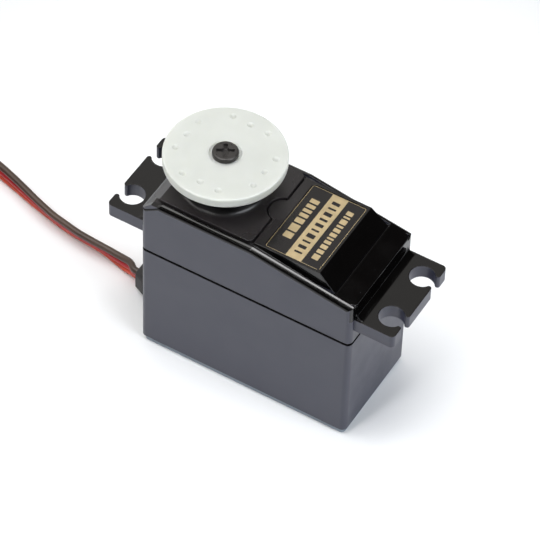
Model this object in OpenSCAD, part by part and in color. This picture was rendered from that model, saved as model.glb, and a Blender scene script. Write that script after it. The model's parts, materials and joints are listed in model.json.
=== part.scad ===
// Standard size servo motor: cased DC motor, four stage metal gear train, round output horn and lead.
// Origin: centre of the bottom cover's lower face. +X runs to the label end, +Z is up.
// The output shaft stands at the -X end; the long sides face -Y and +Y.

/* [Case] */
// Length of the case along X
case_l = 40; // [39.5:0.5:41]
// Width of the case along Y
case_w = 20; // [20:0.2:21]
// Wall thickness
wall = 1.2; // [1:0.1:1.3]
// Height of the joint between lower and upper case
part_z = 23.4; // [23:0.1:23.6]
// Height of the top deck
deck_z = 35.6; // [35.4:0.1:36.2]
// Thickness of the bottom cover
cover_t = 1.2; // [1.1:0.1:1.4]
// Radius of the case's vertical corners
corner_r = 1.0; // [0.6:0.1:1.4]

/* [Mounting ears] */
// Length over both ears
ear_span = 54.4; // [54:0.2:56]
// Width of an ear
ear_w = 17.8; // [17:0.2:18.4]
// Height of the ears' upper face
ear_z = 29; // [28.4:0.1:29.4]
// Thickness of an ear
ear_t = 2.6; // [2:0.1:3]
// Distance between the slots of the two ears
slot_pitch_x = 49.4; // [49:0.1:50]
// Distance between the two slots of one ear
slot_pitch_y = 10; // [9.5:0.1:10.5]
// Radius of a slot's round end
slot_r = 2.2; // [2:0.05:2.3]
// Width of a slot's mouth
mouth_w = 2.3; // [2:0.1:2.6]

/* [Output] */
// Place of the output shaft along X
out_x = -10; // [-10.2:0.1:-9.9]
// Radius of the round horn
horn_r = 10.3; // [9.5:0.1:11]
// Height of the horn's underside
horn_z = 41.3; // [41.2:0.1:41.6]
// Thickness of the horn's disc
horn_t = 1.8; // [1.6:0.1:2.2]

/* [Gears] */
// Tooth module of the motor stage
fast_mod = 0.35; // [0.35]
// Tooth module of the other stages
slow_mod = 0.4; // [0.4]
// Pressure angle
press_a = 25; // [23:1:25]
// Thinning of each tooth at the pitch circle
tooth_gap = 0.05; // [0.04:0.01:0.07]

/* [Lead] */
// Diameter of one wire
wire_d = 1.25; // [1.1:0.05:1.3]
// Radius of the coil's outer turn
coil_r = 19.7; // [19.7]

/* [Hidden] */

$fn = 48;
// clearance of a turning fit, on the radius
run_fit = 0.05;
// overshoot of every cut
cut = 1;

// --- gear train: teeth, centre distances and levels -------------------------------------------
motor_teeth = 10;
first_wheel = 46;
first_pinion = 12;
second_wheel = 40;
second_pinion = 14;
third_wheel = 38;
third_pinion = 12;
out_wheel = 40;
idler_x = out_x + slow_mod * (first_pinion + second_wheel) / 2;
motor_x = idler_x + fast_mod * (motor_teeth + first_wheel) / 2;
// lowest and highest level of each toothed ring
first_wheel_z = [24.3, 25.7];
first_pinion_z = [25.7, 27.7];
second_wheel_z = [25.9, 27.5];
second_pinion_z = [27.5, 29.9];
third_wheel_z = [28, 29.6];
third_pinion_z = [29.6, 32.2];
out_wheel_z = [30.1, 32];
motor_pinion_z = [24, 26.2];
pin_r = 0.75;
spindle_r = 1.2;

// --- case -------------------------------------------------------------------------------------
end_chamfer = 2.55;
kink_x = 0.8;
deck_drop = 3.2;
// the rails along the long edges
rail_w = 1.0;
rail_r = 1;
rail_drop = 0.05;
rail_start_x = -16.2;
// the level between the rails, seen only in the grooves
base_drop = 0.6;
groove_w = 0.25;
joint_gap = 0.28;
joint_depth = 0.5;
plate_rise = 0.3;
plate_end_x = 0.3;
plate_r = 2.0;
// the label block and the recess in it
block_w = 17.2;
block_top_w = 16.7;
block_end_x = 12.9;
block_slope = 0.93;
trough_end_x = 16.2;
end_round = 0.4;
label_x = [2.25, 12.5];
label_w = 15.7;
label_sink = 0.3;
label_t = 0.12;
roof_t = 1.5;
floor_t = 1.5;
inner_l = case_l - 2 * wall;
inner_w = case_w - 2 * wall;
screw_x = 17.4;
screw_y = 7.4;
screw_r = 1.0;
boss_r = 6.8;
boss_fillet = 0.9;
boss_h = 3.0;
pin_boss_x = 1.2;
pin_boss_r = 2.5;
journal_r = 4.0;
bearing_r = 6.0;
bearing_h = 3.5;
bearing_z = deck_z - roof_t + 0.1;
boss_top = deck_z + plate_rise + boss_h - 0.2;
boot_z = 3.4;

// --- motor ------------------------------------------------------------------------------------
can_r = 8.3;
can_w = 14.8;
can_z = [5.9, part_z - floor_t];
can_t = 0.7;
shaft_r = 0.75;

// --- potentiometer ----------------------------------------------------------------------------
pot_r = 5.6;
pot_z = [14.9, 20.9];

// --- lead -------------------------------------------------------------------------------------
ribbon_w = 3 * wire_d;
// where the lead leaves the boot
lead_x = -26.4;
lead_z = 2.6;
// points of the route from the boot to the coil, each with the roll of the ribbon in degrees
route = [
    [-26.4, 0, 2.6, -108], [-27.3, 0, 2.6, -108], [-28.6, 0.7, 2.5, -96], [-30.2, 1.15, 2.1, -93],
    [-32, 1.5, 2, -99], [-34.5, 1.9, 2.05, -108], [-37, 2.15, 2.1, -114], [-40, 2.4, 2.1, -114],
    [-43, 2.9, 2, -110], [-46, 3.5, 2, -110], [-49, 4.3, 2, -106], [-52, 5.2, 2, -100],
    [-56, 6.5, 2, -94], [-60, 7.7, 2, -90], [-64, 8.7, 2, -90], [-68, 9.4, 2, -90],
    [-72, 9.7, 2, -90], [-76, 9.7, 2, -90]];
coil_x = -76;
coil_y = -10;
coil_z = 0.125;
coil_turns = 2;
turn_step = 1.35;
coil_in_r = coil_r - coil_turns * turn_step;
// from the coil's inner turn to the plug inside the coil
tail = [
    [-76, 7, 2, -90], [-79, 6.7, 2, -90], [-82, 5.4, 2, -90], [-84.4, 3.2, 2, -80],
    [-85.8, 0.4, 1.9, -60], [-85.8, -2.6, 1.7, -30], [-84.8, -5.4, 1.5, -10], [-83.5, -8, 1.5, 0]];
plug_l = 14;
plug_w = 7.8;
plug_h = 2.6;
plug_turn = -63;

// ===== shared shapes ==========================================================================

// what rounds off a long edge at y = w/2, between two points of a side profile
module edge_cutter(x0, z0, x1, z1, w, r) {
    for (side = [0, 1])
        mirror([0, side, 0])
            translate([x0, w / 2, z0])
                rotate([0, -atan2(z1 - z0, x1 - x0), 0])
                    difference() {
                        translate([-0.3, -r, -r])
                            cube([norm([x1 - x0, z1 - z0]) + 0.6, r + cut, r + cut]);
                        translate([-cut, -r, -r])
                            rotate([0, 90, 0])
                                cylinder(r = r, h = norm([x1 - x0, z1 - z0]) + 2 * cut);
                    }
}

// what rounds off the upper edge at the +X end
module end_cutter(r) {
    a = atan(deck_drop / (case_l / 2 - kink_x));
    x = case_l / 2 - r;
    z = deck_at(x) - r / cos(a);
    difference() {
        side_block([
            [x, z], [x + (r + cut) * sin(a), z + (r + cut) * cos(a)],
            [case_l / 2 + cut, z + r + cut], [case_l / 2 + cut, z]], case_w + 2);
        translate([x, 0, z])
            rotate([90, 0, 0])
                cylinder(r = r, h = case_w + 4, center = true);
    }
}

// rounded rectangle
module rrect(l, w, r) {
    square([l - 2 * r, w], center = true);
    square([l, w - 2 * r], center = true);
    for (sx = [-1, 1], sy = [-1, 1])
        translate([sx * (l / 2 - r), sy * (w / 2 - r)])
            circle(r = r);
}

// upright block with rounded corners between two heights
module slab(l, w, r, z0, z1) {
    translate([0, 0, z0])
        linear_extrude(height = z1 - z0)
            rrect(l, w, r);
}

// cylinder between two heights
module post(x, y, r, z0, z1) {
    translate([x, y, z0])
        cylinder(r = r, h = z1 - z0);
}

// side profile drawn in X and Z, carried w wide along Y
module side_block(points, w) {
    rotate([90, 0, 0])
        linear_extrude(height = w, center = true)
            polygon(points);
}

// height of the sloping deck at x
function deck_at(x) = x < kink_x ? deck_z : deck_z - deck_drop * (x - kink_x) / (case_l / 2 - kink_x);

// profile of the upper case, raised or lowered by d above the deck
function deck_profile(d) = [
    [-case_l / 2, part_z], [case_l / 2, part_z], [case_l / 2, deck_at(case_l / 2) + d],
    [kink_x, deck_z + d], [-case_l / 2 + end_chamfer + d, deck_z + d],
    [-case_l / 2, deck_z - end_chamfer]];

// the four corner screws' places
module at_screws() {
    for (sx = [-1, 1], sy = [-1, 1])
        translate([sx * screw_x, sy * screw_y, 0])
            children();
}

// ===== gears ==================================================================================

// involute angle at radius r for base radius rb
function inv_a(r, rb) = r <= rb ? 0 : sqrt(pow(r / rb, 2) - 1) * 180 / PI - acos(rb / r);

// half the angle of a tooth at radius r
function half_tooth(r, z, m) =
    let (rp = m * z / 2, rb = rp * cos(press_a))
    90 / z - tooth_gap / rp * 90 / PI + inv_a(rp, rb) - inv_a(r, rb);

// outline of a spur gear, one tooth centred on the +X axis
function gear_points(z, m, add) =
    let (
        rp = m * z / 2,
        rb = rp * cos(press_a),
        rr = rp - 1.25 * m,
        ra = rp + add * m,
        low = max(rr + 0.02, rb),
        radii = [rr, low, low + (ra - low) * 0.35, low + (ra - low) * 0.7, ra],
        n = len(radii))
    [for (k = [0 : z - 1], i = [0 : 2 * n - 1])
        let (
            j = i < n ? i : 2 * n - 1 - i,
            side = i < n ? -1 : 1,
            a = 360 / z * k + side * half_tooth(radii[j], z, m))
        [radii[j] * cos(a), radii[j] * sin(a)]];

// toothed ring between two levels
module toothed(z, m, add, levels, turn) {
    translate([0, 0, levels[0]])
        rotate([0, 0, turn])
            linear_extrude(height = levels[1] - levels[0])
                polygon(gear_points(z, m, add));
}

// wheel and pinion cut as one piece, bored for its pin
module compound(wheel, wheel_m, wheel_z, wheel_turn, pinion, pinion_z, bore) {
    difference() {
        union() {
            toothed(wheel, wheel_m, 0.85, wheel_z, wheel_turn);
            toothed(pinion, slow_mod, 1, [wheel_z[0], pinion_z[1]], 0);
        }
        post(0, 0, bore, wheel_z[0] - cut, pinion_z[1] + cut);
    }
}

// small spline between two levels
module splined(r, depth, teeth, z0, z1) {
    translate([0, 0, z0])
        linear_extrude(height = z1 - z0)
            polygon([for (i = [0 : 2 * teeth - 1])
                let (rad = i % 2 == 0 ? r : r - depth, a = 180 / teeth * i)
                [rad * cos(a), rad * sin(a)]]);
}

// ===== case pieces ============================================================================

// fine step round the outside, above or below the level z
module joint_line(z, side) {
    difference() {
        slab(case_l + 2, case_w + 2, corner_r, min(z, z + side * joint_gap), max(z, z + side * joint_gap));
        slab(case_l - 2 * joint_depth, case_w - 2 * joint_depth, corner_r - joint_depth, z - cut, z + cut);
    }
}

// plan of both ears with their open slots
module ear_plan() {
    lip_r = 0.45;
    difference() {
        rrect(ear_span, ear_w, 0.8);
        for (sx = [-1, 1], sy = [-1, 1])
            translate([sx * slot_pitch_x / 2, sy * slot_pitch_y / 2]) {
                circle(r = slot_r);
                translate([sx * 2, 0])
                    square([4, mouth_w], center = true);
                translate([sx * ((ear_span - slot_pitch_x) / 2 - lip_r + 1), 0])
                    square([2, mouth_w + 2 * lip_r], center = true);
            }
    }
    for (sx = [-1, 1], sy = [-1, 1], lip = [-1, 1])
        translate([sx * (ear_span / 2 - lip_r), sy * slot_pitch_y / 2 + lip * (mouth_w / 2 + lip_r)])
            circle(r = lip_r, $fn = 24);
}

// concave fillet between the end wall and an ear's upper face
module ear_fillet(r) {
    difference() {
        translate([case_l / 2 - 0.5, -ear_w / 2 + 0.4, ear_z - 0.5])
            cube([r + 0.5, ear_w - 0.8, r + 0.5]);
        translate([case_l / 2 + r, 0, ear_z + r])
            rotate([90, 0, 0])
                cylinder(r = r, h = case_w, center = true);
    }
}

module case_hollow() {
    roof = deck_z - roof_t;
    intersection() {
        slab(inner_l, inner_w, 0.6, part_z - cut, deck_z);
        side_block([
            [-inner_l / 2, part_z - cut], [inner_l / 2, part_z - cut],
            [inner_l / 2, deck_at(inner_l / 2) - roof_t], [kink_x, roof],
            [-case_l / 2 + end_chamfer + 0.6, roof], [-inner_l / 2, roof - end_chamfer + 0.6]], case_w);
    }
    // pocket under the label block
    translate([kink_x, -7, part_z])
        cube([block_end_x - kink_x - 1.2, 14, roof - part_z]);
}

// fixed stops that the output gear's lug meets at each end of its travel
module stop_ribs() {
    for (side = [-1, 1])
        translate([out_x, 0, 0])
            rotate([0, 0, 180 + side * 107])
                translate([5.2, -0.6, 32.5])
                    cube([2, 1.2, deck_z - roof_t - 32.5 + 0.3]);
}

// the two rails along the long edges, rounded outside
module rails() {
    rail_z = deck_z - rail_drop;
    difference() {
        intersection() {
            slab(case_l, case_w, corner_r, part_z, deck_z + 1);
            side_block([
                [-case_l / 2, part_z], [case_l / 2, part_z], [case_l / 2, deck_at(case_l / 2) - rail_drop],
                [kink_x, rail_z], [rail_start_x, rail_z], [-case_l / 2, deck_z - end_chamfer]], case_w + 1);
        }
        translate([-case_l, rail_w - case_w / 2, part_z + 4])
            cube([2 * case_l, case_w - 2 * rail_w, 20]);
        edge_cutter(-case_l / 2, deck_z - end_chamfer, rail_start_x, rail_z, case_w, 0.6);
        edge_cutter(rail_start_x, rail_z, kink_x, rail_z, case_w, rail_r);
        edge_cutter(kink_x, rail_z, case_l / 2, deck_at(case_l / 2) - rail_drop, case_w, rail_r);
    }
}

// raised plate round the output, with a half round recess for the idler pin's boss
module output_plate() {
    left_x = end_chamfer - case_l / 2 - 0.95;
    w = case_w - 2 * (rail_w + groove_w);
    difference() {
        intersection() {
            union() {
                translate([(left_x + out_x) / 2 + 1, 0, 0])
                    slab(out_x - left_x + 2, w, plate_r, part_z, deck_z + 1);
                translate([(plate_end_x + out_x) / 2 - 1, 0, 0])
                    slab(plate_end_x - out_x + 2, w, 1, part_z, deck_z + 1);
            }
            side_block(deck_profile(plate_rise), case_w);
        }
        post(pin_boss_x, 0, pin_boss_r + groove_w, deck_z - base_drop, deck_z + 1);
    }
    intersection() {
        post(pin_boss_x, 0, pin_boss_r, part_z + 8, deck_z);
        translate([pin_boss_x - 4, -4, part_z])
            cube([plate_end_x + 4.3 - pin_boss_x, 8, 20]);
    }
}

// label block: flat on top, drafted at its sides, with a steep end
module label_block() {
    start_x = plate_end_x + groove_w;
    foot_x = block_end_x + 3.2;
    intersection() {
        side_block([
            [start_x, part_z + 5], [foot_x, part_z + 5], [foot_x, deck_z - 3.2 * block_slope],
            [block_end_x, deck_z], [start_x, deck_z]], case_w);
        translate([start_x - 1, 0, 0])
            rotate([90, 0, 90])
                linear_extrude(height = foot_x + 2)
                    polygon([
                        [-block_w / 2, deck_z - 3], [block_w / 2, deck_z - 3], [block_w / 2, deck_z - 2.5],
                        [block_top_w / 2, deck_z], [-block_top_w / 2, deck_z], [-block_w / 2, deck_z - 2.5]]);
    }
}

module top_case() color([0.08, 0.08, 0.09]) {
    difference() {
        union() {
            // body up to the foot of the grooves
            intersection() {
                slab(case_l, case_w - 0.3, corner_r, part_z, deck_z + 1);
                side_block(deck_profile(-base_drop), case_w + 1);
            }
            rails();
            output_plate();
            label_block();
            // deck beyond the label block
            intersection() {
                slab(case_l, case_w - 2 * rail_w, corner_r, part_z + 5, deck_z + 1);
                side_block(deck_profile(-rail_drop), case_w);
                translate([trough_end_x, -case_w / 2, part_z + 5])
                    cube([case_l, case_w, 20]);
            }
            // bearing boss, filleted at its foot
            post(out_x, 0, boss_r, deck_z - 1, boss_top);
            translate([out_x, 0, deck_z + plate_rise])
                rotate_extrude()
                    difference() {
                        translate([boss_r - 0.5, -0.5])
                            square([boss_fillet + 0.5, boss_fillet + 0.5]);
                        translate([boss_r + boss_fillet, boss_fillet])
                            circle(r = boss_fillet);
                    }
            // ears
            translate([0, 0, ear_z - ear_t])
                linear_extrude(height = ear_t)
                    ear_plan();
            ear_fillet(1.4);
            mirror([1, 0, 0])
                ear_fillet(1.4);
        }
        difference() {
            case_hollow();
            // pillars for the long screws
            at_screws()
                post(0, 0, 1.9, part_z - cut, deck_z);
            stop_ribs();
            // socket for the idler pin
            post(idler_x, 0, 1.7, 32.6, deck_z);
        }
        // line of the joint with the lower case
        joint_line(part_z, 1);
        // bearing seat and shaft opening
        post(out_x, 0, bearing_r, deck_z - roof_t - cut, bearing_z + bearing_h);
        post(out_x, 0, journal_r + 1, deck_z, boss_top + cut);
        end_cutter(end_round);
        // label recess
        translate([(label_x[0] + label_x[1]) / 2, 0, 0])
            slab(label_x[1] - label_x[0], label_w, 0.6, deck_z - label_sink, deck_z + cut);
        // idler pin
        post(idler_x, 0, pin_r, 32, deck_z - roof_t + 0.4);
        // thread holes
        at_screws()
            post(0, 0, screw_r + 0.05, part_z - cut, 30);
    }
}

module lower_case() color([0.1, 0.1, 0.11]) {
    deck = part_z - floor_t;
    difference() {
        union() {
            difference() {
                slab(case_l, case_w, corner_r, cover_t, part_z);
                slab(inner_l, inner_w, 0.6, cover_t - cut, deck);
            }
            // tongue that locates the upper case
            difference() {
                slab(inner_l - 0.1, inner_w - 0.1, 0.6, deck, part_z + 0.6);
                slab(inner_l - 1.1, inner_w - 1.1, 0.4, part_z, part_z + cut);
            }
            // pillars for the long screws
            intersection() {
                at_screws()
                    post(0, 0, 1.9, cover_t + 1, part_z);
                slab(inner_l + 0.2, inner_w + 0.2, 0.6, cover_t, part_z);
            }
            // seat under the first gear
            post(idler_x, 0, 1.6, deck, part_z + 0.8);
            // seat for the output bush
            post(out_x, 0, 3.2, deck - 1, part_z + 0.6);
        }
        joint_line(part_z, -1);
        at_screws() {
            post(0, 0, screw_r + 0.05, cover_t, part_z + cut);
            // the upper case's pillars stand here
            post(0, 0, 2, part_z, part_z + cut);
        }
        post(idler_x, 0, pin_r, deck - cut, part_z + 2);
        post(out_x, 0, 2.2, deck - 1 - cut, part_z + 2);
        post(motor_x, 0, 3.1, deck - cut, part_z + cut);
        for (sy = [-1, 1])
            post(motor_x, sy * 5.4, 0.85, deck - cut, part_z + cut);
        // opening for the cable boot, closed from below by the cover
        translate([-case_l / 2 - cut, -3, cover_t - cut])
            cube([wall + 2 * cut, 6, boot_z + 2.4 - cover_t + cut]);
        translate([-case_l / 2 + wall - 0.1, -3.8, cover_t - cut])
            cube([1.3, 7.6, boot_z + 2.8 - cover_t + cut]);
    }
}

module bottom_cover() color([0.1, 0.1, 0.11])
    difference() {
        union() {
            slab(case_l - 0.8, case_w - 0.8, corner_r - 0.2, 0, cover_t);
            // rim inside the case
            difference() {
                slab(inner_l - 0.1, inner_w - 0.1, 0.5, cover_t - 0.1, cover_t + 1);
                slab(inner_l - 1.7, inner_w - 1.7, 0.4, cover_t - 0.1, cover_t + 1 + cut);
            }
            intersection() {
                at_screws()
                    post(0, 0, 2.2, cover_t - 0.1, cover_t + 1);
                slab(inner_l - 0.1, inner_w - 0.1, 0.5, cover_t - 0.1, cover_t + 1);
            }
        }
        at_screws() {
            post(0, 0, screw_r + 0.05, -cut, 5);
            post(0, 0, 1.85, -cut, 1.3);
        }
        // pry notches in the long edges
        for (sx = [-1, 1], sy = [-1, 1])
            translate([sx * 16.6, sy * (case_w / 2 - 0.4), cover_t])
                cube([2.6, 1, 1.2], center = true);
        // the boot stands here
        translate([-case_l / 2 - cut, -4, cover_t])
            cube([3.6, 8, 2]);
    }

module case_screws() color([0.55, 0.55, 0.57])
    at_screws()
        difference() {
            union() {
                post(0, 0, 1.7, 0.15, 1.3);
                post(0, 0, screw_r, 1.2, 29);
            }
            cross_recess(2.2, 0.5, 0.15, 0.75);
        }

// crossed slot cut upwards from z0 to z1
module cross_recess(l, w, z0, z1) {
    for (a = [0, 90])
        rotate([0, 0, a])
            translate([-l / 2, -w / 2, z0 - cut])
                cube([l, w, z1 - z0 + cut]);
}

module label() color([0.05, 0.05, 0.05])
    translate([(label_x[0] + label_x[1]) / 2, 0, 0])
        slab(label_x[1] - label_x[0] - 0.2, label_w - 0.2, 0.5, deck_z - label_sink, deck_z - label_sink + label_t);

// rounded section of the boot at x, centred on zc
module boot_section(x, w, h, zc) {
    translate([x, 0, zc])
        rotate([0, 90, 0])
            linear_extrude(height = 0.4)
                rrect(h, w, 0.9);
}

// rubber strain relief: a wide foot tapering to the flat lead, which leaves it standing on edge
module cable_boot() color([0.06, 0.06, 0.06]) {
    difference() {
        union() {
            hull() {
                boot_section(-case_l / 2 - 0.5, 6.8, 4.8, 4);
                boot_section(-24.2, 6, 4.4, 3.4);
                boot_section(lead_x, 3.2, 4.3, lead_z);
            }
            // neck through the wall
            translate([-case_l / 2 - 0.15, -2.9, cover_t + 0.05])
                cube([wall + 0.2, 5.8, boot_z + 2.3 - cover_t - 0.05]);
            // flange behind the wall
            translate([-case_l / 2 + wall + 0.02, -3.7, cover_t + 0.05])
                cube([1, 7.4, boot_z + 2.7 - cover_t - 0.05]);
        }
        translate([-case_l / 2 - 0.2, -ribbon_w / 2, 3 - wire_d / 2])
            cube([2.6, ribbon_w, wire_d]);
    }
}

// ===== electronics ============================================================================

board_z = 7.2;
module circuit_board() color([0.1, 0.35, 0.15])
    translate([-17.4, -7.2, board_z])
        difference() {
            cube([17.6, 14.4, 1]);
            for (sy = [0, 1])
                translate([-1, sy * 14.4 - 2, -1])
                    cube([3.2, 4, 3]);
        }

module control_chip() color([0.1, 0.1, 0.1]) {
    translate([-12.4, -2.6, board_z + 1.15])
        cube([6.4, 5.2, 1.3]);
    for (i = [0 : 6], sy = [-1, 1])
        translate([-12 + i * 0.9, sy * 3.1 - 0.6, board_z + 1])
            cube([0.4, 1.2, 0.4]);
}

module driver_transistors() color([0.12, 0.12, 0.12])
    for (i = [0, 1], sy = [-1, 1])
        translate([-4.8 + i * 2.6, sy * 4.4 - 0.9, board_z + 1])
            cube([1.9, 1.8, 1.1]);

module board_capacitors() color([0.75, 0.6, 0.3]) {
    post(-15, 3.8, 1.6, board_z + 1, board_z + 5);
    post(-15, -3.8, 1.6, board_z + 1, board_z + 5);
    translate([-9.6, 5, board_z + 1])
        cube([2, 1.2, 0.9]);
}

module chip_resistors() color([0.15, 0.15, 0.18])
    for (i = [0 : 3])
        translate([-11.6 + i * 1.9, -5.9, board_z + 1])
            cube([1.2, 0.7, 0.4]);

module resonator() color([0.85, 0.55, 0.15])
    translate([-5, -1.5, board_z + 1])
        cube([1.5, 3, 2.2]);

// straight insulated wire between two points
module wire(a, b, r) {
    d = b - a;
    l = norm(d);
    translate(a)
        rotate([0, acos(d[2] / l), atan2(d[1], d[0])])
            cylinder(r = r, h = l, $fn = 16);
}

// wire through a list of points, rounded at its bends
module bent_wire(points, r) {
    for (i = [0 : len(points) - 2])
        wire(points[i], points[i + 1], r);
    for (i = [1 : len(points) - 2])
        translate(points[i])
            sphere(r = r, $fn = 16);
}

module supply_leads() color([0.8, 0.2, 0.1])
    for (i = [-1 : 1])
        bent_wire([[-17.78, i * wire_d, 3], [-13.3, i * wire_d, 3], [-13.3, i * wire_d, board_z]], 0.5);

module motor_leads() color([0.2, 0.2, 0.8])
    for (sy = [-1, 1])
        bent_wire([[motor_x - 4.25, sy * 5.2, 3.7], [-1.2, sy * 5.2, 3.7], [-1.2, sy * 5.2, board_z]], 0.4);

module feedback_leads() color([0.9, 0.8, 0.2])
    for (i = [-1 : 1])
        wire([-16.9, i * 2, board_z + 1], [-16.9, i * 2, pot_z[0] - 0.3], 0.35);

// ===== motor ==================================================================================

// flat sided round of the motor, grown or shrunk by d
module motor_plan(d) {
    intersection() {
        circle(r = can_r + d, $fn = 64);
        square([4 * can_r, can_w + 2 * d], center = true);
    }
}

module motor_slab(d, z0, z1) {
    translate([motor_x, 0, z0])
        linear_extrude(height = z1 - z0)
            motor_plan(d);
}

module motor_can() color([0.7, 0.7, 0.72])
    difference() {
        union() {
            motor_slab(0, can_z[0], can_z[1]);
            post(motor_x, 0, 2.9, can_z[1] - 0.5, part_z - 0.1);
        }
        motor_slab(-can_t, can_z[0] - cut, can_z[1] - can_t);
        post(motor_x, 0, 2, can_z[1] - 2, part_z + cut);
        for (sy = [-1, 1])
            post(motor_x, sy * 5.4, 0.75, can_z[1] - 2, can_z[1] + cut);
    }

module motor_end_cap() color([0.9, 0.88, 0.8])
    difference() {
        union() {
            motor_slab(0, 4.6, can_z[0]);
            motor_slab(-can_t - 0.05, can_z[0] - 0.1, can_z[0] + 1.2);
        }
        motor_slab(-can_t - 1, 5.2, can_z[0] + 2);
        post(motor_x, 0, 2, 3, 8);
        for (sy = [-1, 1])
            translate([motor_x - 4.4, sy * 5.2 - 0.6, 4])
                cube([1, 1.2, 3]);
    }

module motor_magnets() color([0.25, 0.25, 0.27])
    for (side = [-1, 1])
        intersection() {
            difference() {
                post(motor_x, 0, can_r - can_t - 0.05, 8.4, 19.4);
                post(motor_x, 0, 5.9, 8, 20);
            }
            translate([motor_x + side * 6.4, 0, 14])
                cube([6, 10.4, 12], center = true);
        }

module motor_brushes() color([0.75, 0.5, 0.3])
    for (sy = [-1, 1])
        translate([motor_x - 0.8, sy * 2.6 - 0.5, 5.2])
            cube([1.6, 1, 2.4]);

module motor_terminals() color([0.8, 0.75, 0.6])
    for (sy = [-1, 1])
        translate([motor_x - 4.25, sy * 5.2 - 0.4, 3.2])
            cube([0.7, 0.8, 3.4]);

module bush_ring(x, r_out, r_in, z0, z1) {
    difference() {
        post(x, 0, r_out, z0, z1);
        post(x, 0, r_in, z0 - cut, z1 + cut);
    }
}

module motor_front_bush() color([0.72, 0.5, 0.28])
    bush_ring(motor_x, 2, shaft_r + run_fit, can_z[1] - can_t, part_z - 0.1);

module motor_rear_bush() color([0.72, 0.5, 0.28])
    bush_ring(motor_x, 2, shaft_r + run_fit, 3.6, 5.6);

module motor_screws() color([0.6, 0.6, 0.62])
    for (sy = [-1, 1])
        translate([motor_x, sy * 5.4, 0])
            difference() {
                union() {
                    post(0, 0, 1.4, part_z, part_z + 0.7);
                    post(0, 0, 0.7, can_z[1] - 1.4, part_z + 0.1);
                }
                translate([-1, -0.2, part_z + 0.35])
                    cube([2, 0.4, 1]);
            }

module motor_shaft() color([0.75, 0.75, 0.77])
    post(motor_x, 0, shaft_r, 3.2, 26.4);

module armature_core() color([0.45, 0.45, 0.47])
    translate([motor_x, 0, 10])
        linear_extrude(height = 8)
            difference() {
                union() {
                    circle(r = 2);
                    for (a = [90 : 120 : 330])
                        rotate(a) {
                            translate([3, 0])
                                square([4, 1.6], center = true);
                            intersection() {
                                circle(r = 5.6, $fn = 64);
                                translate([5.1, 0])
                                    square([1.2, 7.6], center = true);
                            }
                        }
                }
                circle(r = shaft_r);
            }

module armature_windings() color([0.7, 0.35, 0.15])
    for (a = [90 : 120 : 330])
        translate([motor_x, 0, 9.2])
            rotate([0, 0, a])
                difference() {
                    translate([2.3, -1.9, 0])
                        cube([2.1, 3.8, 9.6]);
                    translate([1, -0.8, 0.8])
                        cube([5, 1.6, 8]);
                }

module commutator() color([0.8, 0.55, 0.35])
    for (a = [0 : 120 : 240])
        translate([motor_x, 0, 6])
            rotate([0, 0, a])
                linear_extrude(height = 2.4)
                    difference() {
                        intersection() {
                            circle(r = 2);
                            polygon([[0.25, 0.1], [4, 0.1], [2, 3.6], [-1.8, 3.3]]);
                        }
                        circle(r = shaft_r + 0.02);
                    }

module motor_pinion() color([0.85, 0.7, 0.35])
    translate([motor_x, 0, 0])
        difference() {
            toothed(motor_teeth, fast_mod, 1, motor_pinion_z, 0);
            post(0, 0, shaft_r, 20, 30);
        }

// ===== gear train =============================================================================

module idler_pin() color([0.8, 0.8, 0.82])
    post(idler_x, 0, pin_r, part_z - floor_t, deck_z - roof_t + 0.4);

module output_bush() color([0.72, 0.5, 0.28])
    bush_ring(out_x, 2.2, spindle_r + run_fit, part_z - floor_t - 1, part_z + 0.6);

module first_gear() color([0.85, 0.7, 0.35])
    translate([idler_x, 0, 0])
        compound(first_wheel, fast_mod, first_wheel_z, 180 / first_wheel, first_pinion, first_pinion_z,
            pin_r + run_fit);

module second_gear() color([0.8, 0.8, 0.82])
    translate([out_x, 0, 0])
        compound(second_wheel, slow_mod, second_wheel_z, 180 / second_wheel, second_pinion, second_pinion_z,
            spindle_r + run_fit);

module third_gear() color([0.8, 0.8, 0.82])
    translate([idler_x, 0, 0])
        compound(third_wheel, slow_mod, third_wheel_z, 180 / third_wheel, third_pinion, third_pinion_z,
            pin_r + run_fit);

spline_top = horn_z + 0.3;
module output_gear() color([0.85, 0.7, 0.35])
    translate([out_x, 0, 0])
        difference() {
            union() {
                // spindle down to the potentiometer
                post(0, 0, spindle_r, pot_z[0] + 1.6, out_wheel_z[0] + 0.5);
                toothed(out_wheel, slow_mod, 0.85, out_wheel_z, 180 / out_wheel);
                // shoulder, journal and spline
                post(0, 0, 4.6, out_wheel_z[1] - 0.2, bearing_z);
                post(0, 0, journal_r, bearing_z - 0.2, bearing_z + bearing_h + 0.4);
                splined(2.95, 0.3, 25, bearing_z + bearing_h, spline_top);
                // lug that meets the stops
                rotate([0, 0, 180])
                    translate([5.2, -0.7, out_wheel_z[1] - 0.2])
                        cube([2, 1.4, 1.5]);
            }
            post(0, 0, 1.2, spline_top - 7, spline_top + cut);
            // flat for the potentiometer
            translate([0.7, -2, 0])
                cube([2, 4, pot_z[0] + 5]);
        }

// rounding of the horn's rim
horn_round = 0.25;
module horn_disc() color([0.92, 0.94, 0.9])
    translate([out_x, 0, 0])
        difference() {
            rotate_extrude($fn = 96)
                union() {
                    translate([0, horn_z])
                        square([horn_r - horn_round, horn_t]);
                    translate([0, horn_z + horn_round])
                        square([horn_r, horn_t - 2 * horn_round]);
                    for (z = [horn_z + horn_round, horn_z + horn_t - horn_round])
                        translate([horn_r - horn_round, z])
                            circle(r = horn_round, $fn = 32);
                    translate([0, boss_top + 0.25])
                        square([4.6, horn_z - boss_top]);
                }
            splined(2.99, 0.3, 25, boss_top - cut, spline_top + 0.05);
            post(0, 0, 1.3, spline_top - cut, horn_z + horn_t + cut);
            post(0, 0, 2.7, head_z, horn_z + horn_t + cut);
            horn_dimples();
        }

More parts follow.
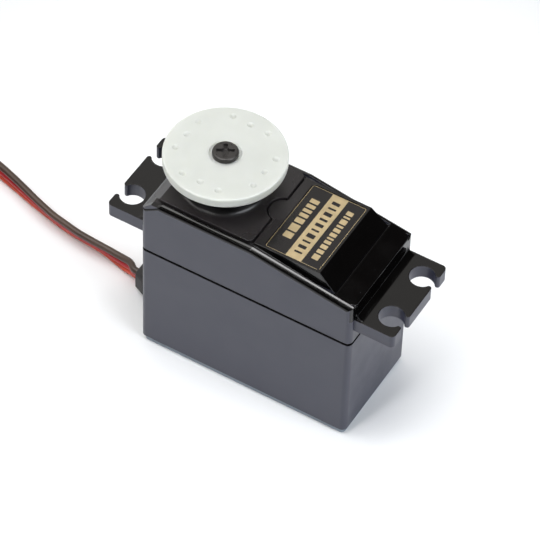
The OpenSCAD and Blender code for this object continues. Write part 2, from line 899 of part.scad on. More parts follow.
// pilot dimples: a row of three on each of the four sides
dimple_ball_r = 0.9;
dimple_depth = 0.2;
horn_turn = -1.5;
module horn_dimples() {
    for (a = [0 : 90 : 270], i = [-1 : 1])
        rotate([0, 0, a + horn_turn])
            translate([7.5, 3.4 * i, horn_z + horn_t + dimple_ball_r - dimple_depth])
                sphere(r = dimple_ball_r, $fn = 32);
}

head_z = horn_z + horn_t - 0.2;
head_h = 0.85;
head_r = 2.2;
module horn_screw() color([0.12, 0.12, 0.13])
    translate([out_x, 0, 0])
        difference() {
            union() {
                // pan head with a rounded rim
                translate([0, 0, head_z])
                    rotate_extrude($fn = 64) {
                        square([head_r, head_h - 0.35]);
                        square([head_r - 0.35, head_h]);
                        translate([head_r - 0.35, head_h - 0.35])
                            circle(r = 0.35, $fn = 32);
                    }
                post(0, 0, 1.15, head_z - 5.5, head_z + 0.1);
            }
            translate([0, 0, head_z + head_h])
                rotate([180, 0, 30]) {
                    cross_recess(3, 0.7, 0, 0.55);
                    post(0, 0, 0.7, -cut, 0.75);
                }
        }

// ===== output bearing =========================================================================

ball_ring_r = 5.0;
ball_r = 0.52;
race_mid = bearing_z + bearing_h / 2;

module race(r0, r1) {
    translate([out_x, 0, 0])
        rotate_extrude($fn = 64)
            difference() {
                translate([r0, bearing_z])
                    square([r1 - r0, bearing_h]);
                translate([ball_ring_r, race_mid])
                    circle(r = 0.6, $fn = 32);
            }
}

module bearing_outer_race() color([0.75, 0.75, 0.78])
    race(5.3, bearing_r);

module bearing_inner_race() color([0.75, 0.75, 0.78])
    race(journal_r, 4.7);

module bearing_balls() color([0.85, 0.85, 0.88])
    for (i = [0 : 11])
        translate([out_x, 0, race_mid])
            rotate([0, 0, i * 30])
                translate([ball_ring_r, 0, 0])
                    sphere(r = ball_r, $fn = 32);

module ball_cage() color([0.8, 0.7, 0.4])
    difference() {
        bush_ring(out_x, 5.15, 4.85, race_mid - 0.9, race_mid + 0.9);
        for (i = [0 : 11])
            translate([out_x, 0, race_mid])
                rotate([0, 0, i * 30])
                    rotate([0, 90, 0])
                        cylinder(r = ball_r + 0.06, h = 7);
    }

// ===== feedback potentiometer =================================================================

module feedback_pot_body() color([0.2, 0.25, 0.3])
    translate([out_x, 0, 0])
        difference() {
            post(0, 0, pot_r, pot_z[0], pot_z[1]);
            post(0, 0, pot_r - 0.7, pot_z[0] + 0.8, pot_z[1] - 0.8);
            post(0, 0, 2, pot_z[1] - 2, pot_z[1] + cut);
        }

module pot_track() color([0.1, 0.08, 0.07])
    bush_ring(out_x, 4.6, 3.2, pot_z[0] + 0.8, pot_z[0] + 1.0);

module pot_terminals() color([0.8, 0.75, 0.6])
    for (i = [-1 : 1])
        translate([-17.2, i * 2 - 0.4, pot_z[0] - 0.3])
            cube([2.4, 0.8, 0.3]);

module pot_rotor() color([0.85, 0.85, 0.8])
    translate([out_x, 0, 0])
        difference() {
            union() {
                post(0, 0, 4, pot_z[0] + 2.2, pot_z[0] + 3.4);
                post(0, 0, 1.8, pot_z[0] + 2.2, pot_z[1] - 0.2);
            }
            difference() {
                post(0, 0, spindle_r, pot_z[0], pot_z[1] + cut);
                translate([0.7, -2, pot_z[0]])
                    cube([2, 4, 5]);
            }
        }

module pot_wiper() color([0.85, 0.65, 0.3])
    translate([out_x - 4.3, -0.5, pot_z[0] + 1.1])
        difference() {
            cube([3, 1, 1.1]);
            translate([0.8, -1, -0.3])
                cube([5, 3, 1]);
        }

// ===== lead ===================================================================================

function unit(v) = v / norm(v);
function xyz(p) = [p[0], p[1], p[2]];
// direction of the route at point i
function heading(p, i) = unit(xyz(p[min(i + 1, len(p) - 1)]) - xyz(p[max(i - 1, 0)]));
// ribbon section: eight points, t thick and w wide, in its own plane
function ribbon_section(w, t) = [
    [w / 2, t / 4], [w / 2 - t / 3, t / 2], [t / 3 - w / 2, t / 2], [-w / 2, t / 4],
    [-w / 2, -t / 4], [t / 3 - w / 2, -t / 2], [w / 2 - t / 3, -t / 2], [w / 2, -t / 4]];
// one ring of the swept ribbon at point i
function ribbon_ring(p, i, section) =
    let (
        d = heading(p, i),
        s = unit(cross(d, [0, 0, 1])),
        u = cross(s, d),
        a = p[i][3],
        across = s * cos(a) - u * sin(a),
        upward = u * cos(a) + s * sin(a))
    [for (q = section) xyz(p[i]) + across * q[0] + upward * q[1]];

module ribbon(p) {
    section = ribbon_section(ribbon_w, wire_d);
    n = len(section);
    last = len(p) - 1;
    points = [for (i = [0 : last]) each ribbon_ring(p, i, section)];
    sides = [for (i = [0 : last - 1], j = [0 : n - 1], half = [0, 1])
        let (a = i * n + j, b = i * n + (j + 1) % n)
        half == 0 ? [a, b, b + n] : [a, b + n, a + n]];
    start = [[for (j = [n - 1 : -1 : 0]) j]];
    end = [[for (j = [0 : n - 1]) last * n + j]];
    polyhedron(points = points, faces = concat(start, sides, end), convexity = 6);
}

module lead_run() color([0.75, 0.2, 0.12])
    ribbon(route);

module lead_tail() color([0.75, 0.2, 0.12])
    ribbon(tail);

module lead_coil() color([0.75, 0.2, 0.12])
    translate([coil_x, coil_y, coil_z])
        rotate_extrude($fn = 96)
            translate([coil_in_r - wire_d / 2, 0])
                square([coil_r - coil_in_r + wire_d, ribbon_w]);

// band around the coil's turns
module lead_tie() color([0.1, 0.1, 0.1])
    translate([coil_x, coil_y, 0])
        rotate([0, 0, -135])
            difference() {
                translate([coil_in_r - wire_d / 2 - 0.5, -1.2, 0])
                    cube([coil_r - coil_in_r + wire_d + 1, 2.4, ribbon_w + coil_z + 0.35]);
                rotate_extrude($fn = 96)
                    translate([coil_in_r - wire_d / 2, coil_z])
                        square([coil_r - coil_in_r + wire_d, ribbon_w]);
            }

// places the plug at the end of the tail, its mating face away from the lead
module at_plug() {
    translate([tail[len(tail) - 1][0], tail[len(tail) - 1][1], 0.2])
        rotate([0, 0, plug_turn])
            children();
}

module plug_housing() color([0.07, 0.07, 0.07])
    at_plug()
        difference() {
            union() {
                translate([0, -plug_w / 2, 0])
                    cube([plug_l, plug_w, plug_h]);
                // keying ridge
                translate([1, -plug_w / 2 - 0.6, 0.4])
                    cube([6, 0.7, plug_h - 0.8]);
            }
            for (i = [-1 : 1]) {
                translate([plug_l - 7, i * 2.54 - 0.5, plug_h / 2 - 0.5])
                    cube([8, 1, 1]);
                // window that shows the contact's latch
                translate([5, i * 2.54 - 0.6, plug_h - 0.6])
                    cube([2, 1.2, 1]);
            }
        }

module plug_contacts() color([0.85, 0.7, 0.3])
    at_plug()
        for (i = [-1 : 1])
            translate([5.3, i * 2.54 - 0.4, plug_h - 0.6])
                cube([1.4, 0.8, 0.35]);

// ===== assembly ===============================================================================

top_case();
lower_case();
bottom_cover();
case_screws();
label();
cable_boot();
circuit_board();
control_chip();
driver_transistors();
board_capacitors();
chip_resistors();
resonator();
motor_can();
motor_end_cap();
motor_magnets();
motor_brushes();
motor_terminals();
motor_front_bush();
motor_rear_bush();
motor_screws();
motor_leads();
feedback_leads();
supply_leads();
idler_pin();
output_bush();
feedback_pot_body();
pot_track();
pot_terminals();
bearing_outer_race();
bearing_inner_race();
bearing_balls();
ball_cage();
motor_shaft();
armature_core();
armature_windings();
commutator();
motor_pinion();
first_gear();
second_gear();
third_gear();
output_gear();
horn_disc();
horn_screw();
pot_rotor();
pot_wiper();
lead_run();
lead_coil();
lead_tail();
lead_tie();
plug_housing();
plug_contacts();
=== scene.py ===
import json
import math

import bmesh
import bpy
from mathutils import Matrix, Vector


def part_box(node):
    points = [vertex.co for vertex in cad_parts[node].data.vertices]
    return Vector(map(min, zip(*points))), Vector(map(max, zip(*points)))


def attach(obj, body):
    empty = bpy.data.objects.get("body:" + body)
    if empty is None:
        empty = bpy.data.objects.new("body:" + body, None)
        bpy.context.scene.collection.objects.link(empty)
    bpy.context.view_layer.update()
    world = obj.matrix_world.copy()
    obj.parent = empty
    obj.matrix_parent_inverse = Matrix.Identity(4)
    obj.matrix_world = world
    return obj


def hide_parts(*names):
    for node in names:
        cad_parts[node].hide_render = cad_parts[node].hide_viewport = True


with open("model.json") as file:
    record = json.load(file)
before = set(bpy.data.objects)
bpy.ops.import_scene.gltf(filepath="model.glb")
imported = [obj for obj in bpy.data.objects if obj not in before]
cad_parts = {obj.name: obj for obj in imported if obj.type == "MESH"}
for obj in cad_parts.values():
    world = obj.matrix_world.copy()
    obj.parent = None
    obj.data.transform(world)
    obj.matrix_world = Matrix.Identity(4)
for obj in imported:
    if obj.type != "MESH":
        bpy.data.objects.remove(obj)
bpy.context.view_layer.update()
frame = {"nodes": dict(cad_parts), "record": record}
NODES = frame["nodes"]
MM = 0.001
# places on the case, in millimetres
OUTPUT_X = -10
EAR_TOP = 29
DECK_LOW = 33.5
PLATE_TOP = 35.95
RAIL_INSIDE = 8.95
END_STEP = (19.6, 22)


# ----- camera --------------------------------------------------------------------------------

def add_camera():
    """Long lens, looking down on the output end's long side."""
    azimuth, elevation, roll = (math.radians(angle) for angle in (29.27, 49.32, 2.19))
    place_mm = Vector((191.99, -344.19, 478.72))
    back = Vector((
        math.sin(azimuth) * math.cos(elevation),
        -math.cos(azimuth) * math.cos(elevation),
        math.sin(elevation)))
    level = Vector((math.cos(azimuth), math.sin(azimuth), 0))
    above = back.cross(level)
    right = level * math.cos(roll) + above * math.sin(roll)
    up = above * math.cos(roll) - level * math.sin(roll)
    data = bpy.data.cameras.new("camera")
    data.lens = 243.2
    data.sensor_width = 36
    data.clip_start = 0.05
    camera = bpy.data.objects.new("camera", data)
    bpy.context.scene.collection.objects.link(camera)
    turn = Matrix((right, up, back)).transposed().to_4x4()
    camera.matrix_world = Matrix.Translation(place_mm * MM) @ turn
    bpy.context.scene.camera = camera


# ----- mesh helpers --------------------------------------------------------------------------

def new_object(name, bm, smooth=True):
    mesh = bpy.data.meshes.new(name)
    bm.to_mesh(mesh)
    bm.free()
    for face in mesh.polygons:
        face.use_smooth = smooth
    obj = bpy.data.objects.new(name, mesh)
    bpy.context.scene.collection.objects.link(obj)
    return obj


def catmull(points, steps):
    """A smooth curve through the points, each a tuple of any length."""
    out = []
    last = len(points) - 1
    for i in range(last):
        a, b, c, d = (points[k] for k in (max(i - 1, 0), i, i + 1, min(i + 2, last)))
        for s in range(steps):
            t = s / steps
            out.append(tuple(
                0.5 * (2 * q + (r - p) * t + (2 * p - 5 * q + 4 * r - w) * t ** 2
                       + (3 * q - p - 3 * r + w) * t ** 3)
                for p, q, r, w in zip(a, b, c, d)))
    return out + [tuple(points[last])]


# ----- lead ----------------------------------------------------------------------------------

WIRE_D = 1.25
COIL = Vector((-76, -10, 2))
COIL_R = 19.7
TURN_STEP = 1.35
TURNS = 2
ROUTE = [
    (-26.4, 0, 2.6, -108), (-27.3, 0, 2.6, -108), (-28.6, 0.7, 2.5, -96), (-30.2, 1.15, 2.1, -93),
    (-32, 1.5, 2, -99), (-34.5, 1.9, 2.05, -108), (-37, 2.15, 2.1, -114), (-40, 2.4, 2.1, -114),
    (-43, 2.9, 2, -110), (-46, 3.5, 2, -110), (-49, 4.3, 2, -106), (-52, 5.2, 2, -100),
    (-56, 6.5, 2, -94), (-60, 7.7, 2, -90), (-64, 8.7, 2, -90), (-68, 9.4, 2, -90),
    (-72, 9.7, 2, -90)]
TAIL = [
    (-76, 7, 2, -90), (-79, 6.7, 2, -90), (-82, 5.4, 2, -90), (-84.4, 3.2, 2, -80),
    (-85.8, 0.4, 1.9, -60), (-85.8, -2.6, 1.7, -30), (-84.8, -5.4, 1.5, -10), (-83.5, -8, 1.5, 0)]


def lead_points():
    """Centre and roll of the flat lead: along the floor, round the coil, and in to the plug."""
    coil = []
    per_turn = 30
    for i in range(TURNS * per_turn):
        angle = math.radians(90 + 360 * i / per_turn)
        r = COIL_R - TURN_STEP * i / per_turn
        coil.append((COIL.x + r * math.cos(angle), COIL.y + r * math.sin(angle), COIL.z, -90))
    return catmull(ROUTE + coil + TAIL, 3)


def add_lead(materials):
    """Three wires side by side, bonded into one ribbon."""
    points = lead_points()
    centres = [Vector(p[:3]) * MM for p in points]
    bm = bmesh.new()
    sides = 12
    rings = [[], [], []]
    last = len(points) - 1
    for i, p in enumerate(points):
        ahead = (centres[min(i + 1, last)] - centres[max(i - 1, 0)]).normalized()
        side = ahead.cross(Vector((0, 0, 1))).normalized()
        up = side.cross(ahead)
        a = math.radians(p[3])
        across = side * math.cos(a) - up * math.sin(a)
        above = up * math.cos(a) + side * math.sin(a)
        for wire in range(3):
            middle = centres[i] + across * (1 - wire) * WIRE_D * MM
            rings[wire].append([
                bm.verts.new(
                    middle
                    + across * (math.cos(2 * math.pi * k / sides) * WIRE_D / 2 * MM)
                    + above * (math.sin(2 * math.pi * k / sides) * WIRE_D / 2 * MM))
                for k in range(sides)])
    for wire, tube in enumerate(rings):
        for one, two in zip(tube, tube[1:]):
            for k in range(sides):
                n = (k + 1) % sides
                bm.faces.new((one[k], two[k], two[n], one[n])).material_index = wire
        bm.faces.new(tube[0]).material_index = wire
        bm.faces.new(list(reversed(tube[-1]))).material_index = wire
    bmesh.ops.recalc_face_normals(bm, faces=bm.faces)
    lead = new_object("lead", bm)
    for m in materials:
        lead.data.materials.append(m)
    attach(lead, "case")
    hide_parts("lead_run", "lead_coil", "lead_tail")


# ----- materials -----------------------------------------------------------------------------

class Shader:
    """A principled material whose colour, roughness and relief vary over the surface."""

    def __init__(self, name, color, rough, metallic=0.0, ior=1.5):
        self.material = bpy.data.materials.new(name)
        self.material.use_nodes = True
        self.tree = self.material.node_tree
        self.bsdf = self.tree.nodes["Principled BSDF"]
        self.bsdf.inputs["Metallic"].default_value = metallic
        self.bsdf.inputs["IOR"].default_value = ior
        self.bsdf.inputs["Base Color"].default_value = (*color, 1)
        self.bsdf.inputs["Roughness"].default_value = rough
        self.color = color
        self.rough = rough
        self.place = self.node("ShaderNodeTexCoord").outputs["Object"]

    def node(self, kind, **values):
        made = self.tree.nodes.new(kind)
        for key, value in values.items():
            setattr(made, key, value)
        return made

    def link(self, a, b):
        self.tree.links.new(a, b)

    def noise(self, size_mm, detail=3.0, stretch=(1, 1, 1)):
        """Noise whose features are about size_mm across."""
        mapping = self.node("ShaderNodeMapping")
        mapping.inputs["Scale"].default_value = stretch
        self.link(self.place, mapping.inputs["Vector"])
        noise = self.node("ShaderNodeTexNoise")
        noise.inputs["Scale"].default_value = 1 / (size_mm * MM)
        noise.inputs["Detail"].default_value = detail
        self.link(mapping.outputs["Vector"], noise.inputs["Vector"])
        return noise.outputs["Fac"]

    def ramp(self, value, low, high, out_low=0.0, out_high=1.0):
        change = self.node("ShaderNodeMapRange")
        for key, number in zip(("From Min", "From Max", "To Min", "To Max"), (low, high, out_low, out_high)):
            change.inputs[key].default_value = number
        self.link(value, change.inputs["Value"])
        return change.outputs["Result"]

    def mix(self, mask, one, two):
        mix = self.node("ShaderNodeMix", data_type="RGBA")
        self.link(mask, mix.inputs["Factor"])
        for socket, value in ((mix.inputs[6], one), (mix.inputs[7], two)):
            if isinstance(value, tuple):
                socket.default_value = (*value, 1)
            else:
                self.link(value, socket)
        return mix.outputs[2]

    def both(self, one, two, operation="MULTIPLY"):
        joined = self.node("ShaderNodeMath", operation=operation, use_clamp=operation == "SUBTRACT")
        self.link(one, joined.inputs[0])
        self.link(two, joined.inputs[1])
        return joined.outputs[0]

    def raised(self, base, mask, amount):
        """base, and amount more where the mask is 1."""
        total = self.node("ShaderNodeMath", operation="MULTIPLY_ADD")
        self.link(mask, total.inputs[0])
        total.inputs[1].default_value = amount
        self.link(base, total.inputs[2])
        return total.outputs[0]

    def within(self, value, low, high, fade):
        """1 where value lies between low and high, fading to 0 over fade beyond them."""
        return self.both(self.ramp(value, low - fade, low), self.ramp(value, high + fade, high))

    def parts(self, vector):
        """X, Y and Z of a vector."""
        split = self.node("ShaderNodeSeparateXYZ")
        self.link(vector, split.inputs["Vector"])
        return split.outputs

    def absolute(self, value):
        size = self.node("ShaderNodeMath", operation="ABSOLUTE")
        self.link(value, size.inputs[0])
        return size.outputs[0]

    def distance_from_output(self):
        """Distance from the output's axis, level with the floor."""
        level = self.node("ShaderNodeVectorMath", operation="MULTIPLY")
        self.link(self.place, level.inputs[0])
        level.inputs[1].default_value = (1, 1, 0)
        reach = self.node("ShaderNodeVectorMath", operation="DISTANCE")
        self.link(level.outputs["Vector"], reach.inputs[0])
        reach.inputs[1].default_value = (OUTPUT_X * MM, 0, 0)
        return reach.outputs["Value"]

    def vary(self, amount, size_mm, stretch=(1, 1, 1)):
        """Uneven colour: darker and lighter by amount."""
        dark = tuple(c * (1 - amount) for c in self.color)
        light = tuple(min(1, c * (1 + amount)) for c in self.color)
        mask = self.ramp(self.noise(size_mm, stretch=stretch), 0.3, 0.7)
        self.last_color = self.mix(mask, dark, light)
        self.link(self.last_color, self.bsdf.inputs["Base Color"])

    def vary_rough(self, amount, size_mm, stretch=(1, 1, 1)):
        value = self.ramp(self.noise(size_mm, stretch=stretch), 0.3, 0.7,
                          self.rough - amount, self.rough + amount)
        self.link(value, self.bsdf.inputs["Roughness"])

    def relief(self, size_mm, depth_mm, strength=0.5, edge_mm=0.0, stretch=(1, 1, 1)):
        """Fine bumps, on edges that are rounded by edge_mm."""
        bump = self.node("ShaderNodeBump")
        bump.inputs["Strength"].default_value = strength
        bump.inputs["Distance"].default_value = depth_mm * MM
        self.link(self.noise(size_mm, detail=4, stretch=stretch), bump.inputs["Height"])
        if edge_mm:
            bevel = self.node("ShaderNodeBevel", samples=6)
            bevel.inputs["Radius"].default_value = edge_mm * MM
            self.link(bevel.outputs["Normal"], bump.inputs["Normal"])
        self.link(bump.outputs["Normal"], self.bsdf.inputs["Normal"])

    def speckle(self, color, size_mm, share):
        """A few small specks of another colour."""
        cells = self.node("ShaderNodeTexVoronoi")
        cells.inputs["Scale"].default_value = 1 / (size_mm * MM)
        self.link(self.place, cells.inputs["Vector"])
        mask = self.ramp(cells.outputs["Distance"], share, share * 0.7)
        self.last_color = self.mix(mask, self.last_color, color)
        self.link(self.last_color, self.bsdf.inputs["Base Color"])


def plastic(name, color, rough, edge_mm=0.15, grain_mm=0.25, depth_mm=0.004, strength=0.4):
    s = Shader(name, color, rough)
    s.vary(0.2, 6)
    s.vary_rough(0.05, 4)
    s.relief(grain_mm, depth_mm, strength, edge_mm)
    return s


def metal(name, color, rough, stretch=(1, 1, 1), edge_mm=0.06):
    s = Shader(name, color, rough, metallic=1.0)
    s.vary(0.08, 1.5, stretch)
    s.vary_rough(0.08, 0.6, stretch)
    s.relief(0.2, 0.002, 0.3, edge_mm, stretch)
    return s


def make_materials():
    m = {}
    m["case_plastic"] = case_plastic()
    # the cover's upright walls are painted pale grey-blue, a painted reflection of the floor
    m["cover_painted_reflection"] = case_plastic("cover_painted_reflection", (0.24, 0.29, 0.34))
    m["screw_steel"] = metal("screw_steel", (0.6, 0.6, 0.62), 0.3)
    m["label_film"] = plastic("label_film", (0.006, 0.005, 0.005), 0.25, 0.05, 0.5, 0.002, 0.3)
    m["label_gold"] = metal("label_gold", (0.62, 0.5, 0.3), 0.42, edge_mm=0)
    m["boot_rubber"] = plastic("boot_rubber", (0.012, 0.012, 0.013), 0.6, 0.3, 0.2, 0.01, 0.6)
    m["board_laminate"] = plastic("board_laminate", (0.02, 0.12, 0.05), 0.3, 0.05, 0.4, 0.01)
    m["chip_plastic"] = plastic("chip_plastic", (0.02, 0.02, 0.022), 0.55, 0.08, 0.08, 0.004)
    m["capacitor_body"] = plastic("capacitor_body", (0.6, 0.4, 0.12), 0.35, 0.2, 0.5, 0.01)
    m["resonator_body"] = plastic("resonator_body", (0.75, 0.35, 0.05), 0.35, 0.3, 0.5, 0.01)
    m["motor_steel"] = metal("motor_steel", (0.62, 0.62, 0.64), 0.28, (1, 1, 8), 0.3)
    m["motor_plastic"] = plastic("motor_plastic", (0.75, 0.72, 0.6), 0.5, 0.2, 0.3, 0.006)
    m["magnet"] = plastic("magnet", (0.07, 0.07, 0.075), 0.6, 0.15, 0.15, 0.02, 0.7)
    m["brush_carbon"] = plastic("brush_carbon", (0.03, 0.03, 0.03), 0.6, 0.05, 0.1, 0.01, 0.6)
    m["contact_brass"] = metal("contact_brass", (0.85, 0.65, 0.3), 0.25)
    m["bush_bronze"] = metal("bush_bronze", (0.55, 0.38, 0.2), 0.45)
    m["wire_insulation"] = plastic("wire_insulation", (0.5, 0.03, 0.02), 0.4, 0, 0.4, 0.006)
    m["polished_steel"] = metal("polished_steel", (0.75, 0.75, 0.77), 0.12, (1, 1, 0.2))
    m["pot_plastic"] = plastic("pot_plastic", (0.05, 0.07, 0.1), 0.45, 0.2, 0.3, 0.006)
    m["winding_copper"] = metal("winding_copper", (0.7, 0.28, 0.1), 0.25, (1, 1, 12), 0.4)
    m["gear_brass"] = metal("gear_brass", (0.78, 0.58, 0.26), 0.3, (1, 1, 0.3), 0.03)
    m["gear_steel"] = metal("gear_steel", (0.6, 0.6, 0.62), 0.3, (1, 1, 0.3), 0.03)
    m["horn_nylon"] = horn_nylon()
    black = metal("screw_black", (0.045, 0.042, 0.04), 0.33, edge_mm=0.12)
    black.bsdf.inputs["Metallic"].default_value = 0.5
    m["screw_black"] = black
    m["tie_plastic"] = plastic("tie_plastic", (0.015, 0.015, 0.015), 0.4, 0.15)
    m["plug_plastic"] = plastic("plug_plastic", (0.012, 0.012, 0.013), 0.4, 0.2, 0.2, 0.005)
    return {name: s.material for name, s in m.items()}


# wall: colour of the upright outer walls, partly their matte texture and partly a painted reflection of the
# pale floor
def case_plastic(name="case_plastic", wall=(0.034, 0.0355, 0.057)):
    """Black moulding: polished above, with a fine texture on its upright outer walls, whose paler bluish
    colour is partly that texture and partly a painted reflection of the floor.
    """
    s = Shader(name, (0.0012, 0.001, 0.001), 0.12)
    s.vary(0.3, 6)
    s.speckle((0.05, 0.05, 0.055), 2.6, 0.016)
    x, y, z = s.parts(s.place)
    # the small upright walls between the rails and on the ears stay polished
    between_rails = s.both(s.ramp(s.absolute(y), (RAIL_INSIDE + 0.02) * MM, RAIL_INSIDE * MM),
                           s.ramp(z, (DECK_LOW - 0.1) * MM, DECK_LOW * MM))
    on_ears = s.both(s.within(s.absolute(x), END_STEP[0] * MM, END_STEP[1] * MM, 0.1 * MM),
                     s.ramp(z, EAR_TOP * MM, (EAR_TOP + 0.02) * MM))
    polished = s.both(between_rails, on_ears, "MAXIMUM")
    normal = s.parts(s.node("ShaderNodeNewGeometry").outputs["True Normal"])
    upright = s.ramp(s.absolute(normal["Z"]), 0.1, 0.03)
    outer_wall_and_painted_reflection = s.both(upright, polished, "SUBTRACT")
    # round the output the plate has a fine texture (rougher); it is also painted paler there, a painted
    # light standing in for light let through the horn
    texture_and_painted_light_area = s.both(between_rails, s.ramp(s.distance_from_output(), 17 * MM, 10 * MM))
    painted_horn_light = s.both(texture_and_painted_light_area, s.ramp(z, (PLATE_TOP + 0.3) * MM, PLATE_TOP * MM))
    # painted light: paler colour on the plate near the output, under the horn
    s.last_color = s.mix(painted_horn_light, s.last_color, (0.022, 0.019, 0.02))
    # painted reflection: the upright outer walls take the paler wall colour, standing partly for their
    # texture and partly for the floor they mirror
    s.link(s.mix(outer_wall_and_painted_reflection, s.last_color, wall), s.bsdf.inputs["Base Color"])
    polish = s.ramp(s.noise(4), 0.3, 0.7, 0.09, 0.16)
    s.link(s.raised(s.raised(polish, texture_and_painted_light_area, 0.2), outer_wall_and_painted_reflection, 0.24), s.bsdf.inputs["Roughness"])
    s.relief(0.14, 0.004, 0.5, edge_mm=0.15)
    return s


def horn_nylon():
    """White nylon that lets some light through."""
    s = Shader("horn_nylon", (0.505, 0.52, 0.49), 0.42)
    s.vary(0.03, 5)
    s.vary_rough(0.06, 2)
    s.relief(0.5, 0.006, 0.35, 0.2)
    s.bsdf.inputs["Subsurface Weight"].default_value = 1
    s.bsdf.inputs["Subsurface Scale"].default_value = 2.5 * MM
    s.bsdf.inputs["Subsurface Radius"].default_value = (1.0, 1.0, 0.9)
    return s


def wire_materials():
    colors = {
        "wire_brown": (0.062, 0.036, 0.025),
        "wire_red": (0.42, 0.012, 0.02),
        "wire_orange": (0.52, 0.06, 0.025)}
    return [plastic(name, color, 0.38, 0, 0.5, 0.008, 0.4).material for name, color in colors.items()]


# ----- pieces --------------------------------------------------------------------------------

def rounded_outline(x0, x1, y0, y1, r, steps=8):
    """Corner points of a rounded rectangle, anticlockwise."""
    points = []
    corners = ((x1 - r, y1 - r, 0), (x0 + r, y1 - r, 90), (x0 + r, y0 + r, 180), (x1 - r, y0 + r, 270))
    for cx, cy, start in corners:
        for i in range(steps + 1):
            a = math.radians(start + 90 * i / steps)
            points.append((cx + r * math.cos(a), cy + r * math.sin(a)))
    return points


def plate(bm, outline, z0, z1, hole=None):
    """A flat plate of an outline in millimetres, with an outline of as many points left out."""
    def ring(points, z):
        return [bm.verts.new(Vector((x, y, z)) * MM) for x, y in points]
    top, bottom = ring(outline, z1), ring(outline, z0)
    n = len(outline)
    for i in range(n):
        j = (i + 1) % n
        bm.faces.new((bottom[i], bottom[j], top[j], top[i]))
    if hole is None:
        bm.faces.new(top)
        bm.faces.new(list(reversed(bottom)))
        return
    inner_top, inner_bottom = ring(hole, z1), ring(hole, z0)
    for i in range(n):
        j = (i + 1) % n
        bm.faces.new((inner_top[i], inner_top[j], inner_bottom[j], inner_bottom[i]))
        bm.faces.new((top[i], top[j], inner_top[j], inner_top[i]))
        bm.faces.new((bottom[j], bottom[i], inner_bottom[i], inner_bottom[j]))


def bars(bm, x, height, start_y, widths, gap, z0, z1):
    """A row of plain upright bars along Y."""
    y = start_y
    for width in widths:
        plate(bm, rounded_outline(x, x + height, y, y + width, 0.12), z0, z1)
        y += width + gap


def add_print(name, bm, material):
    bmesh.ops.recalc_face_normals(bm, faces=bm.faces)
    piece = new_object(name, bm, smooth=False)
    piece.data.materials.append(material)
    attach(piece, "case")


def add_label_print(gold, black):
    """Gold frame, rows of plain bars and one broad band with black bars, printed on the label."""
    low, high = (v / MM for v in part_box("label"))
    middle = (low.y + high.y) / 2
    sunk, thick = 0.005, 0.012
    z0, z1 = high.z - sunk, high.z + thick
    edge, line = 0.02, 0.07
    inner = edge + line
    bm = bmesh.new()
    plate(bm, rounded_outline(low.x + edge, high.x - edge, low.y + edge, high.y - edge, 0.35), z0, z1,
          rounded_outline(low.x + inner, high.x - inner, low.y + inner, high.y - inner, 0.28))
    band = (low.x + 3.75, low.x + 6.65)
    plate(bm, rounded_outline(*band, low.y + edge, high.y - edge, 0.08), z0, z1 + 0.002)
    bars(bm, low.x + 1.2, 1.6, middle - 4.4, (1.3, 1.6, 1.1, 0.8, 0.7, 0.8, 0.9), 0.38, z0, z1)
    bars(bm, low.x + 7.6, 1.2, middle - 6.1,
         (1.2, 0.8, 0.9, 0.7, 0.4, 0.8, 0.8, 0.5, 1.1, 0.4, 0.9), 0.34, z0, z1)
    add_print("label_print", bm, gold)
    bm = bmesh.new()
    bars(bm, low.x + 4.5, 1.45, middle - 6.3,
         (0.4, 0.7, 0.4, 0.9, 0.4, 0.7, 0.5, 0.8, 0.4, 0.7), 0.75, high.z + 0.005, high.z + 0.02)
    add_print("label_band_bars", bm, black)


# ----- room ----------------------------------------------------------------------------------

def add_floor():
    """A pale sheet, with a painted pool of light round the servo: its colour turns grey beyond."""
    reach = 3.0
    corners = ((-reach, -reach), (reach, -reach), (reach, reach), (-reach, reach))
    bm = bmesh.new()
    bm.faces.new([bm.verts.new((x, y, 0)) for x, y in corners])
    floor = new_object("floor", bm, smooth=False)
    pale = (0.84, 0.85, 0.86)
    s = Shader("floor", pale, 0.42)
    away = s.node("ShaderNodeVectorMath", operation="LENGTH")
    s.link(s.place, away.inputs[0])
    # painted shade: the floor's colour is darker grey beyond 65 to 150 mm from the middle
    painted_falloff = s.ramp(away.outputs["Value"], 65 * MM, 150 * MM)
    s.link(s.mix(painted_falloff, pale, (0.42, 0.43, 0.44)), s.bsdf.inputs["Base Color"])
    floor.data.materials.append(s.material)


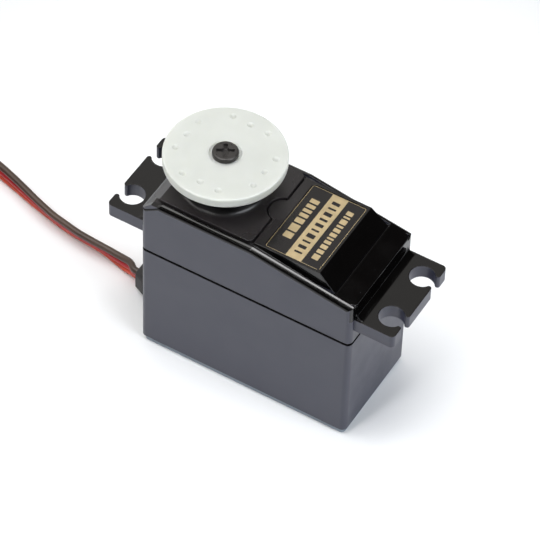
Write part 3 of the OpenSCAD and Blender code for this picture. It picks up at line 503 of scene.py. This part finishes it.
def add_light(name, place_mm, size_mm, power, color=(1, 1, 1)):
    """A soft light that faces the servo."""
    data = bpy.data.lights.new(name, "AREA")
    data.shape = "RECTANGLE"
    data.size, data.size_y = (s * MM for s in size_mm)
    data.energy = power
    data.color = color
    light = bpy.data.objects.new(name, data)
    bpy.context.scene.collection.objects.link(light)
    place = Vector(place_mm) * MM
    light.matrix_world = Matrix.Translation(place) @ (-place).to_track_quat("-Z", "Y").to_matrix().to_4x4()


def add_world():
    """A dim room with a pale wall on its left, towards the back."""
    world = bpy.data.worlds.new("world")
    world.use_nodes = True
    tree = world.node_tree
    split = tree.nodes.new("ShaderNodeSeparateXYZ")
    tree.links.new(tree.nodes.new("ShaderNodeTexCoord").outputs["Generated"], split.inputs["Vector"])

    def fade(axis, low, high):
        change = tree.nodes.new("ShaderNodeMapRange")
        change.interpolation_type = "SMOOTHSTEP"
        change.inputs["From Min"].default_value = low
        change.inputs["From Max"].default_value = high
        tree.links.new(split.outputs[axis], change.inputs["Value"])
        return change.outputs["Result"]

    left = tree.nodes.new("ShaderNodeMath")
    left.operation = "MULTIPLY"
    tree.links.new(fade("X", -0.08, -0.34), left.inputs[0])
    tree.links.new(fade("Y", -0.65, -0.2), left.inputs[1])
    wall = tree.nodes.new("ShaderNodeMath")
    wall.operation = "MULTIPLY_ADD"
    tree.links.new(left.outputs[0], wall.inputs[0])
    dim, bright = 0.025, 0.8
    wall.inputs[1].default_value = bright - dim
    wall.inputs[2].default_value = dim
    background = tree.nodes["Background"]
    background.inputs["Color"].default_value = (1, 0.97, 0.93, 1)
    tree.links.new(wall.outputs[0], background.inputs["Strength"])
    bpy.context.scene.world = world


def add_room():
    add_floor()
    add_world()
    add_light("key", (-122, -57, 506), (240, 770), 1.8)
    add_light("strip", (-38, -140, 500), (75, 940), 2.0)
    add_light("fill", (620, -60, 460), (500, 500), 4.2, (0.9, 0.94, 1))


# ----- assembly ------------------------------------------------------------------------------

def paint_nodes(materials):
    """The slot's material on every CAD piece; the cover gets its own material, whose upright walls are much
    paler than the case's, a painted reflection of the floor.
    """
    slots = {row["node"]: row["material_slot"] for row in frame["record"]["subparts"]}
    for name, obj in NODES.items():
        obj.data.materials.clear()
        obj.data.materials.append(materials[slots[name]])
    # painted reflection: the cover's paler walls
    NODES["bottom_cover"].data.materials[0] = materials["cover_painted_reflection"]


add_camera()
add_lead(wire_materials())
materials = make_materials()
paint_nodes(materials)
add_label_print(materials["label_gold"], materials["label_film"])
add_room()
bpy.context.scene.view_settings.view_transform = "Standard"
